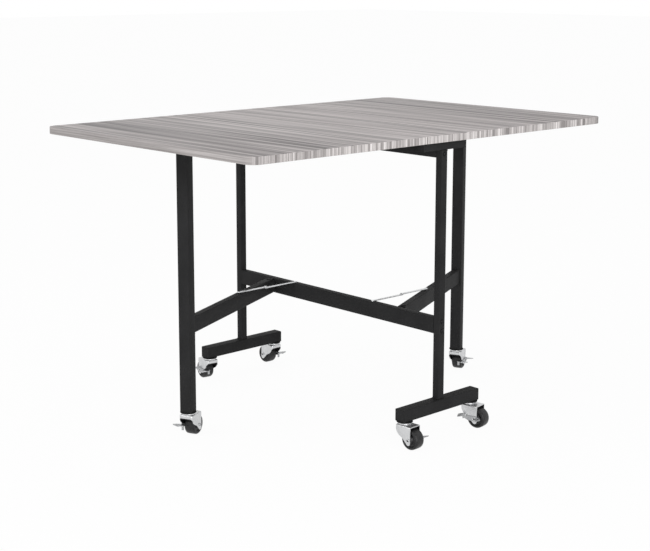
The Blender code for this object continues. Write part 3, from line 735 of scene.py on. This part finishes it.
def makeBolt():
    # drawn along Z with the head's seat at 0
    top = bolt["headHeight"]
    head = addRod("bolt_head", bolt["headRadius"], 0, top, bolt["steps"])
    roundEdges(head, topEdges(top), bolt["dome"], bolt["domeSteps"])
    cutWith(head, addRod("socket", bolt["socketRadius"], top - bolt["socketDepth"], 2 * top,
                         bolt["socketSides"]))
    easeSharp(head, bolt["headEase"])
    shank = addRod("shank", bolt["shankRadius"], bolt["shankLow"], bolt["shankHigh"], bolt["shankSteps"])
    easeSharp(shank, bolt["shankEase"])
    dress(head, finish["bolt"])
    dress(shank, finish["bolt"])
    return joinPieces(head, [shank])


masterBolt = makeBolt()
for endName, sign in zip(ends, (-1, 1)):
    for boltName in ("upper", "lower", "rail"):
        boltNode = endName + "_" + boltName + "_bolt"
        low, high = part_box(boltNode)
        seat = low.y + bolt["headHeight"] if sign < 0 else high.y - bolt["headHeight"]
        spot = ((low.x + high.x) / 2, seat, (low.z + high.z) / 2)
        screw = copyPiece(masterBolt, boltNode + "_head", spot, (-sign * math.pi / 2, 0, 0))
        finishPiece(screw, "frame", [boltNode])
bpy.data.objects.remove(masterBolt)
print("bolts made")


# folding stays

stay = {"width": 0.009, "thick": 0.0015, "armPoint": 0.187, "ease": 0.0003, "endSteps": 10, "gap": 0.0003,
        "rivetRadius": 0.004, "rivetHeight": 0.0012, "rivetDome": 0.0008, "domeSteps": 6, "rivetSteps": 28,
        "pinRadius": 0.0025, "pinEase": 0.0003, "pinSteps": 24}


def makeBar(name, length, low, eye=0.0):
    # a flat bar along X whose ends are round about its two rivets, with an eye at the first if it has one
    half, thick = stay["width"] / 2, stay["thick"]
    outline = arcPoints((length, 0), half, -90, 90, stay["endSteps"])
    outline += arcPoints((0, 0), half, 90, 270, stay["endSteps"])
    piece = cutPlate(name, [(x, y, low) for x, y in outline], (0, 0, thick))
    if eye:
        cutWith(piece, addRod("eye", eye, low - thick, low + 2 * thick, stay["rivetSteps"]))
    easeSharp(piece, stay["ease"])
    dress(piece, finish["steel"])
    return piece


def makeRivet(x, seat):
    top = seat + stay["rivetHeight"]
    piece = addRod("rivet", stay["rivetRadius"], seat, top, stay["rivetSteps"], (x, 0))
    roundEdges(piece, topEdges(top), stay["rivetDome"], stay["domeSteps"])
    dress(piece, finish["steel"])
    return piece


def makePin(x, low, high):
    piece = addRod("pin", stay["pinRadius"], low, high, stay["pinSteps"], (x, 0))
    easeSharp(piece, stay["pinEase"])
    dress(piece, finish["steel"])
    return piece


def makeStay(side):
    anchor, elbow = jointPlace(side + "_stay_long_turn"), jointPlace(side + "_stay_short_turn")
    pivot = jointPlace(side + "_gate_swing")
    legLow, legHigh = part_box(side + "_gate_leg")
    armPoint = pivot.xy + ((legLow + legHigh) / 2 - pivot).xy.normalized() * stay["armPoint"]
    run = (elbow - anchor).xy
    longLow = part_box("stretcher")[1].z + stay["gap"]
    longTop = longLow + stay["thick"]
    shortLow = longTop + stay["gap"]
    shortTop = shortLow + stay["thick"]
    headLow = shortTop + stay["gap"]

    longBar = makeBar(side + "_stay_long_bar", run.length, longLow)
    joinPieces(longBar, [makeRivet(0, longTop), makePin(0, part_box(side + "_stay_long")[0].z, longTop),
                         makePin(run.length, (longLow + longTop) / 2, headLow),
                         makeRivet(run.length, headLow)])
    shortLength = (armPoint - elbow.xy).length
    shortBar = makeBar(side + "_stay_short_bar", shortLength, shortLow, stay["pinRadius"] + stay["gap"])
    joinPieces(shortBar, [makeRivet(shortLength, shortTop), makePin(shortLength, longLow, shortTop)])
    for piece, spot, node in ((longBar, anchor, "_stay_long"), (shortBar, elbow, "_stay_short")):
        movePiece(piece, (*spot.xy, 0), (0, 0, math.atan2(run.y, run.x)))
        finishPiece(piece, side + node, [side + node])


for staySide in sides:
    makeStay(staySide)
print("stays made")


# casters, drawn once with the swivel at the origin and the trail along X

axle = {"radius": 0.003, "reach": 0.0208, "flare": 0.0040, "flareThick": 0.00028, "bore": 0.0026,
        "boreDepth": 0.0019, "boreRoll": (0.0005, 0.0004), "flareEase": 0.0004, "steps": 32}


def makeAxle():
    # a hollow rivet whose two ends are rolled over
    reach, flare, bore = axle["reach"], axle["flare"], axle["bore"]
    floor, under = reach - axle["boreDepth"], reach - axle["flareThick"]
    widen, sink = axle["boreRoll"]
    half = [(0, floor), (bore, floor), (bore, reach - sink), (bore + widen, reach),
            (flare - axle["flareEase"], reach), (flare, under), (axle["radius"], under)]
    piece = turnProfile("axle", half + [(r, -h) for r, h in reversed(half)], axle["steps"], "Y")
    dress(piece, finish["zinc"], finish["inside"])
    # the bore is painted black: painted shade in the hollow
    paintFaces(piece, 1, lambda place, normal: math.hypot(place.x, place.z) < bore + pick["near"])
    return piece


fork = {
    "front": 0.0148, "back": 0.0333, "half": 0.0184, "top": 0.0579, "sheet": 0.0022, "ease": 0.0003,
    "corner": 0.006, "cornerSteps": 8, "crownRound": 0.0026, "crownSteps": 4,
    # the cheek's lower edge, from the lip in front to the neck above the axle
    "arch": ((-0.0148, 0.0495), (-0.0075, 0.0379), (-0.002, 0.0325), (0.0095, 0.0270)),
    "archRound": 0.0030, "archSteps": 5,
    "tip": (0.0268, 0.0186), "tipRadius": 0.0065, "tipStart": 225, "tipSteps": 12, "overrun": 0.002,
    "hole": 0.0043, "holeReach": 0.01, "holeSteps": 32,
}


def makeFork(trail, axleHeight):
    # a pressed channel: crown plate, short lip in front and two cheeks down to the axle
    top, half, sheet = fork["top"], fork["half"], fork["sheet"]
    piece = addBlock("fork", (-fork["front"], -half, 0), (fork["back"], half, top))
    upright, crown, rearmost = along(2), topEdges(top), fork["back"] - pick["near"]
    roundEdges(piece, lambda a, b: upright(a, b) and a.x < 0, fork["corner"], fork["cornerSteps"])
    roundEdges(piece, lambda a, b: crown(a, b) and min(a.x, b.x) < rearmost,
               fork["crownRound"], fork["crownSteps"])
    pickFaces(piece, lambda place, normal: normal.z < -pick["facing"] or normal.x > pick["facing"])
    bpy.ops.mesh.delete(type="FACE")
    leaveEdit()
    thicken(piece, sheet)

    above, ahead, behind = 2 * top, -2 * fork["front"], fork["back"] + fork["overrun"]
    outline = [(behind, above), (ahead, above), (ahead, fork["arch"][0][1]), *fork["arch"]]
    outline += arcPoints(fork["tip"], fork["tipRadius"], fork["tipStart"], 360, fork["tipSteps"])
    outline.append((behind, fork["tip"][1]))
    cheeks = cutPlate("cheeks", [(x, -2 * half, z) for x, z in outline], (0, 4 * half, 0))
    bends = [Vector((x, 0, z)) for x, z in fork["arch"][1:]]
    roundEdges(cheeks, lambda a, b: min((bend - (a + b) / 2).length for bend in bends) < pick["near"],
               fork["archRound"], fork["archSteps"])
    cutWith(piece, cheeks, "INTERSECT")
    cutWith(piece, addRod("swivel_hole", fork["hole"], top - fork["holeReach"], top + fork["holeReach"],
                          fork["holeSteps"]))
    easeSharp(piece, fork["ease"])
    dress(piece, finish["zinc"], finish["inside"])
    skin = sheet - fork["ease"]
    # the channel's inner faces are painted black: painted shade inside the fork
    paintFaces(piece, 1, lambda place, normal: abs(place.y) < half - skin
               and place.x > skin - fork["front"] and place.z < top - skin)
    rivet = makeAxle()
    movePiece(rivet, (trail, 0, axleHeight))
    return joinPieces(piece, [rivet])


wheel = {
    "radius": 0.025, "half": 0.0142, "shoulder": 0.0052, "shoulderArc": (90, 8, 9), "crown": 0.0002,
    "crownFlat": 0.0008, "rim": 0.0182, "recess": 0.004, "hub": 0.0095, "hubHalf": 0.0159, "bore": 0.0033,
    # small steps (outwards, sideways) from the hub's end and foot, the web's edge and the grooved rim
    "hubEnd": ((-0.0026, 0.0), (-0.0020, -0.0005)), "hubFoot": ((0.0, 0.0006), (0.0006, 0.0)),
    "webEdge": ((-0.0025, 0.0), (-0.0018, 0.0006)),
    "rimEdge": ((-0.0008, -0.0008), (0.0, -0.0002), (0.0005, -0.0007), (0.0010, 0.0)), "steps": 72,
}


def makeWheel(trail, axleHeight):
    # barrel tread with round shoulders, a dished web and a hub that reaches the cheeks
    radius, half, rim, hub = wheel["radius"], wheel["half"], wheel["rim"], wheel["hub"]
    shoulder = (radius - wheel["crown"] - wheel["shoulder"], half - wheel["shoulder"])
    web = half - wheel["recess"]
    profile = [(wheel["bore"], wheel["hubHalf"])]
    profile += stepsFrom((hub, wheel["hubHalf"]), wheel["hubEnd"]) + stepsFrom((hub, web), wheel["hubFoot"])
    profile += stepsFrom((rim, web), wheel["webEdge"]) + stepsFrom((rim, half), wheel["rimEdge"])
    profile += arcPoints(shoulder, wheel["shoulder"], *wheel["shoulderArc"])
    profile.append((radius, wheel["crownFlat"]))
    mirrored = [(r, -h) for r, h in reversed(profile)]
    piece = turnProfile("wheel", profile + mirrored + profile[:1], wheel["steps"], "Y")
    dress(piece, finish["tyre"], finish["hub"])
    paintFaces(piece, 1, lambda place, normal: math.hypot(place.x, place.z) < rim)
    movePiece(piece, (trail, 0, axleHeight))
    return piece


lever = {
    "sheet": 0.0018, "gap": 0.0003, "ease": 0.0004, "roundSteps": 4, "hole": (-0.002, 0.004), "holeSteps": 28,
    # the plate's outline round the axle, then the pedal and its shoe ahead of the wheel, then the heel
    "outline": ((0.0170, -0.001), (0.0170, 0.004), (0.006, 0.0075), (-0.0373, 0.0046), (-0.0373, 0.0015),
                (-0.01865, -0.0055), (0.0055, -0.0055)), "outlineRound": 0.0014,
    "pedal": ((-0.0278, 0.0196), (-0.0358, 0.0377), (-0.0388, 0.0377), (-0.0468, 0.0196), (-0.0403, 0.00735),
              (-0.0343, 0.00735)), "pedalTop": 0.0055, "pedalRound": 0.0012,
    "shoe": ((-0.0382, 0.0078, -0.0067), (-0.0364, 0.0132, 0.0046)),
    "heel": ((0.0035, 0.0196), (0.0161, 0.0196), (0.0170, 0.039), (0.0150, 0.039)),
    "heelTop": 0.0032, "heelRound": 0.0008,
    # low ribs across the pedal, as (along, from, to)
    "ribs": ((-0.0395, 0.0225, 0.0300), (-0.0373, 0.0225, 0.0340), (-0.0351, 0.0225, 0.0300)),
    "ribHalf": 0.0005, "ribHeight": 0.0005, "ribSink": 0.0004, "ribEase": 0.0003, "ribSteps": 2,
}


def bentPlate(name, outline, top, radius):
    # a flat piece of the lever that lies level, its corners rounded
    low = top - lever["sheet"]
    piece = cutPlate(name, [(x, y, low) for x, y in outline], (0, 0, lever["sheet"]))
    roundEdges(piece, along(2), radius, lever["roundSteps"])
    return piece


def axleHole(inner):
    # a rod along Y, where the axle's end goes through the lever
    radius = axle["radius"] + lever["gap"]
    low, high = (inner + reach for reach in lever["hole"])
    return turnProfile("hole", [(0, high), (radius, high), (radius, low), (0, low)], lever["holeSteps"], "Y")


def pedalRib(x, start, end):
    top = lever["pedalTop"]
    rib = addBlock("rib", (x - lever["ribHalf"], start, top - lever["ribSink"]),
                   (x + lever["ribHalf"], end, top + lever["ribHeight"]))
    roundEdges(rib, everything, lever["ribEase"], lever["ribSteps"])
    return rib


def makeLever(trail, axleHeight, side):
    # a rocking plate on the axle's end; side is +1 or -1 along Y
    inner = fork["half"] + lever["gap"]
    plate = cutPlate("lever", [(x, inner, z) for x, z in lever["outline"]], (0, lever["sheet"], 0))
    roundEdges(plate, along(1), lever["outlineRound"], lever["roundSteps"])
    cutWith(plate, bentPlate("pedal", lever["pedal"], lever["pedalTop"], lever["pedalRound"]), "UNION")
    cutWith(plate, addBlock("shoe", *lever["shoe"]), "UNION")
    cutWith(plate, bentPlate("heel", lever["heel"], lever["heelTop"], lever["heelRound"]), "UNION")
    cutWith(plate, axleHole(inner))
    easeSharp(plate, lever["ease"])
    joinPieces(plate, [pedalRib(*rib) for rib in lever["ribs"]])
    # the lever wears the darker zinc copy: painted shade
    dress(plate, finish["lever"])
    if side < 0:
        plate.scale = (1, -1, 1)
    movePiece(plate, (trail, 0, axleHeight))
    pickFaces(plate, everything)
    bpy.ops.mesh.normals_make_consistent(inside=False)
    leaveEdit()
    return plate


stem = {"top": 0.0652, "cap": 0.020, "capHeight": 0.0025, "race": 0.017, "raceHeight": 0.0045,
        "raceRound": 0.0014, "raceSteps": 4, "neck": 0.004, "screwTop": 0.0872, "ease": 0.0005,
        "rivet": 0.0065, "rivetTop": 0.0554, "rivetHeight": 0.002, "rivetEase": (0.0003, 0.0004),
        # (share of the rivet's radius, height above its lowest point)
        "rivetDome": ((0.8, 0.0005), (0.5, 0.0001), (0.0, 0.0)), "steps": 40}


def makeStem():
    # black cap under the tube, bright swivel race, its neck through the crown and the riveted end below
    cap, race, neck, top, ease = stem["cap"], stem["race"], stem["neck"], stem["top"], stem["ease"]
    screwTop, rivet, rivetTop = stem["screwTop"], stem["rivet"], stem["rivetTop"]
    capLow = top - stem["capHeight"]
    raceLow = capLow - stem["raceHeight"]
    turn, steps = stem["raceRound"], stem["raceSteps"]
    profile = [(0, screwTop), (neck - ease, screwTop), (neck, screwTop - ease), (neck, top),
               (cap - ease, top), (cap, top - ease), (cap, capLow + ease), (cap - ease, capLow)]
    profile += arcPoints((race - turn, capLow - turn), turn, 90, 0, steps)
    profile += arcPoints((race - turn, raceLow + turn), turn, 0, -90, steps)
    inset, sink = stem["rivetEase"]
    profile += [(neck, raceLow), (neck, rivetTop), (rivet - inset, rivetTop), (rivet, rivetTop - sink)]
    lowest = rivetTop - stem["rivetHeight"]
    profile += [(rivet * share, lowest + rise) for share, rise in stem["rivetDome"]]
    piece = turnProfile("stem", profile, stem["steps"])
    dress(piece, finish["zinc"], finish["plug"])
    paintFaces(piece, 1, lambda place, normal: capLow - pick["near"] < place.z < top + pick["near"]
               and math.hypot(place.x, place.y) > neck)
    return piece


def makeCasters():
    swivel, hub = jointPlace("front_left_caster_swivel"), jointPlace("front_left_wheel_roll")
    trail, height = (hub - swivel).xy.length, hub.z
    masters = {"stem": makeStem(), "fork": makeFork(trail, height), "wheel": makeWheel(trail, height)}
    levers = {side: makeLever(trail, height, side) for side in (-1, 1)}
    for name in ("front_left", "front_right", "rear_left", "rear_right", "left_gate", "right_gate"):
        side = 1 if "left" in name else -1
        swivel, hub = jointPlace(name + "_caster_swivel"), jointPlace(name + "_wheel_roll")
        turn = math.atan2(hub.y - swivel.y, hub.x - swivel.x)
        carrier = joints[name + "_caster_swivel"]["parent"]
        for part, master in (*masters.items(), ("lever", levers[side])):
            node = name + "_caster_" + part
            piece = copyPiece(master, node + "_shape", (*swivel.xy, 0), (0, 0, turn))
            slot = "wheel_rubber" if part == "wheel" else "zinc_plate"
            finishPiece(piece, carrier if part == "stem" else node, [node])
    for master in (*masters.values(), *levers.values()):
        bpy.data.objects.remove(master)


makeCasters()
print("casters made")


# hinges keep their solids; countersunk screws hold them

screwHead = {"radius": 0.0031, "proud": 0.0004, "depth": 0.0009, "ease": 0.00035, "easeSteps": 3, "steps": 28,
             "crossHalf": 0.0019, "crossWidth": 0.0007, "cross": (-0.001, 0.0006),
             # the first head's turn, and how much further each next one is turned
             "firstTurn": 0.3, "nextTurn": 0.9}
hinge = {"screwInset": 0.011, "screwSteps": (-0.018, 0.0, 0.018), "flapThick": 0.002}
barScrews = (-0.052, 0.052)


def makeScrew():
    # head down, its face at 0 looking along -Z
    head = addRod("screw", screwHead["radius"], 0, screwHead["depth"], screwHead["steps"])
    roundEdges(head, lambda a, b: max(a.z, b.z) < pick["near"], screwHead["ease"], screwHead["easeSteps"])
    long, thin = screwHead["crossHalf"], screwHead["crossWidth"] / 2
    low, high = screwHead["cross"]
    for x, y in ((long, thin), (thin, long)):
        cutWith(head, addBlock("cross", (-x, -y, low), (x, y, high)))
    dress(head, finish["steel"])
    return head


def screwGroup(name, spots, faceZ, body):
    heads = []
    for count, spot in enumerate(spots):
        turn = screwHead["firstTurn"] + screwHead["nextTurn"] * count
        heads.append(copyPiece(masterScrew, name + "_head", (*spot, faceZ), (0, 0, turn)))
    group = joinPieces(heads[0], heads[1:])
    group.name = name
    finishPiece(group, body)


def dressHinge(side, end, flap):
    node = side + "_" + end + "_hinge_" + flap
    frame["nodes"][node].material_slots[0].material = finish["steel"]
    low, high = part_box(node)
    inwards = (flap == "fixed") == (side == "right")
    middleX = low.x + hinge["screwInset"] if inwards else high.x - hinge["screwInset"]
    spots = [(middleX, (low.y + high.y) / 2 + step) for step in hinge["screwSteps"]]
    faceZ = high.z - hinge["flapThick"] - screwHead["proud"]
    screwGroup(node + "_screws", spots, faceZ, "frame" if flap == "fixed" else side + "_leaf")


masterScrew = makeScrew()
for hingeSide in sides:
    for hingeEnd in ends:
        for hingeFlap in ("fixed", "moving"):
            dressHinge(hingeSide, hingeEnd, hingeFlap)
for endName in ends:
    low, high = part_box(endName + "_top_bar")
    barSpots = [(x, (low.y + high.y) / 2) for x in barScrews]
    screwGroup(endName + "_top_bar_screws", barSpots, low.z - 2 * screwHead["proud"], "frame")
bpy.data.objects.remove(masterScrew)
print("hinges and screws made")


# floor, light and camera

stage = {"floorSize": 60, "floorDrop": 0.0005, "floorTone": 0.95, "floorRoughness": 0.9, "whiteShare": 0.95,
         "worldLight": 0.62}
# (place, aim, size, power) of each lamp
lamps = {"key": ((-2.4, -4.6, 1.6), (0, 0, 0.4), 2.5, 130), "fill": ((-4.0, 1.0, 2.6), (0, 0, 0.5), 2.5, 50)}
view = {"sensor": 36, "focal": 75.33, "place": (-2.4065, -2.5420, 1.1222), "down": 9.408, "yaw": 42.631,
        "shift": (0.0164, -0.1154)}


def seenRays(wire):
    # 1 where the camera sees the surroundings, also in bright metal
    light = wire.add("ShaderNodeLightPath", {}, {}, "Is Camera Ray")
    return light + light.other("Is Glossy Ray") + light.other("Is Transmission Ray")


def makeFloor():
    bpy.ops.object.select_all(action="DESELECT")
    bpy.ops.mesh.primitive_plane_add(size=stage["floorSize"], location=(0, 0, -stage["floorDrop"]))
    floor = startPiece("studio_floor")
    tone = stage["floorTone"]
    material, shader, wire = newFinish("white_floor", {
        "Base Color": (tone, tone, tone, 1), "Roughness": stage["floorRoughness"], "Specular IOR Level": 0.0})
    white = wire.add("ShaderNodeEmission", {}, {"Color": (1, 1, 1, 1), "Strength": 1.0})
    lit = Wire(wire.tree, shader.outputs[0])
    mixed = wire.add("ShaderNodeMixShader", {}, {0: seenRays(wire) * stage["whiteShare"], 1: lit, 2: white})
    wire.feed(material.node_tree.nodes["Material Output"].inputs["Surface"], mixed)
    dress(floor, material)


def makeWorld():
    world = bpy.data.worlds.new("white_studio")
    bpy.context.scene.world = world
    world.use_nodes = True
    wire = Wire(world.node_tree)
    background = world.node_tree.nodes["Background"]
    background.inputs["Color"].default_value = (1, 1, 1, 1)
    wire.feed(background.inputs["Strength"], fade(wire, seenRays(wire), 0.0, 1.0, stage["worldLight"], 1.0))


def addLamp(name, place, aim, size, power):
    lamp = bpy.data.lights.new(name, "AREA")
    lamp.shape = "SQUARE"
    lamp.size = size
    lamp.energy = power
    holder = bpy.data.objects.new(name, lamp)
    holder.location = place
    holder.rotation_euler = (Vector(aim) - Vector(place)).to_track_quat("-Z", "Y").to_euler()
    bpy.context.scene.collection.objects.link(holder)


def makeCamera():
    camera = bpy.data.cameras.new("photo_camera")
    camera.sensor_width = view["sensor"]
    camera.lens = view["focal"]
    camera.shift_x, camera.shift_y = view["shift"]
    holder = bpy.data.objects.new("photo_camera", camera)
    holder.location = view["place"]
    holder.rotation_euler = (math.radians(90 - view["down"]), 0, math.radians(-view["yaw"]))
    bpy.context.scene.collection.objects.link(holder)
    bpy.context.scene.camera = holder


makeFloor()
makeWorld()
for lampName, lampSettings in lamps.items():
    addLamp(lampName, *lampSettings)
makeCamera()
bpy.context.scene.view_settings.view_transform = "Standard"

bpy.context.view_layer.update()
print("stage set")
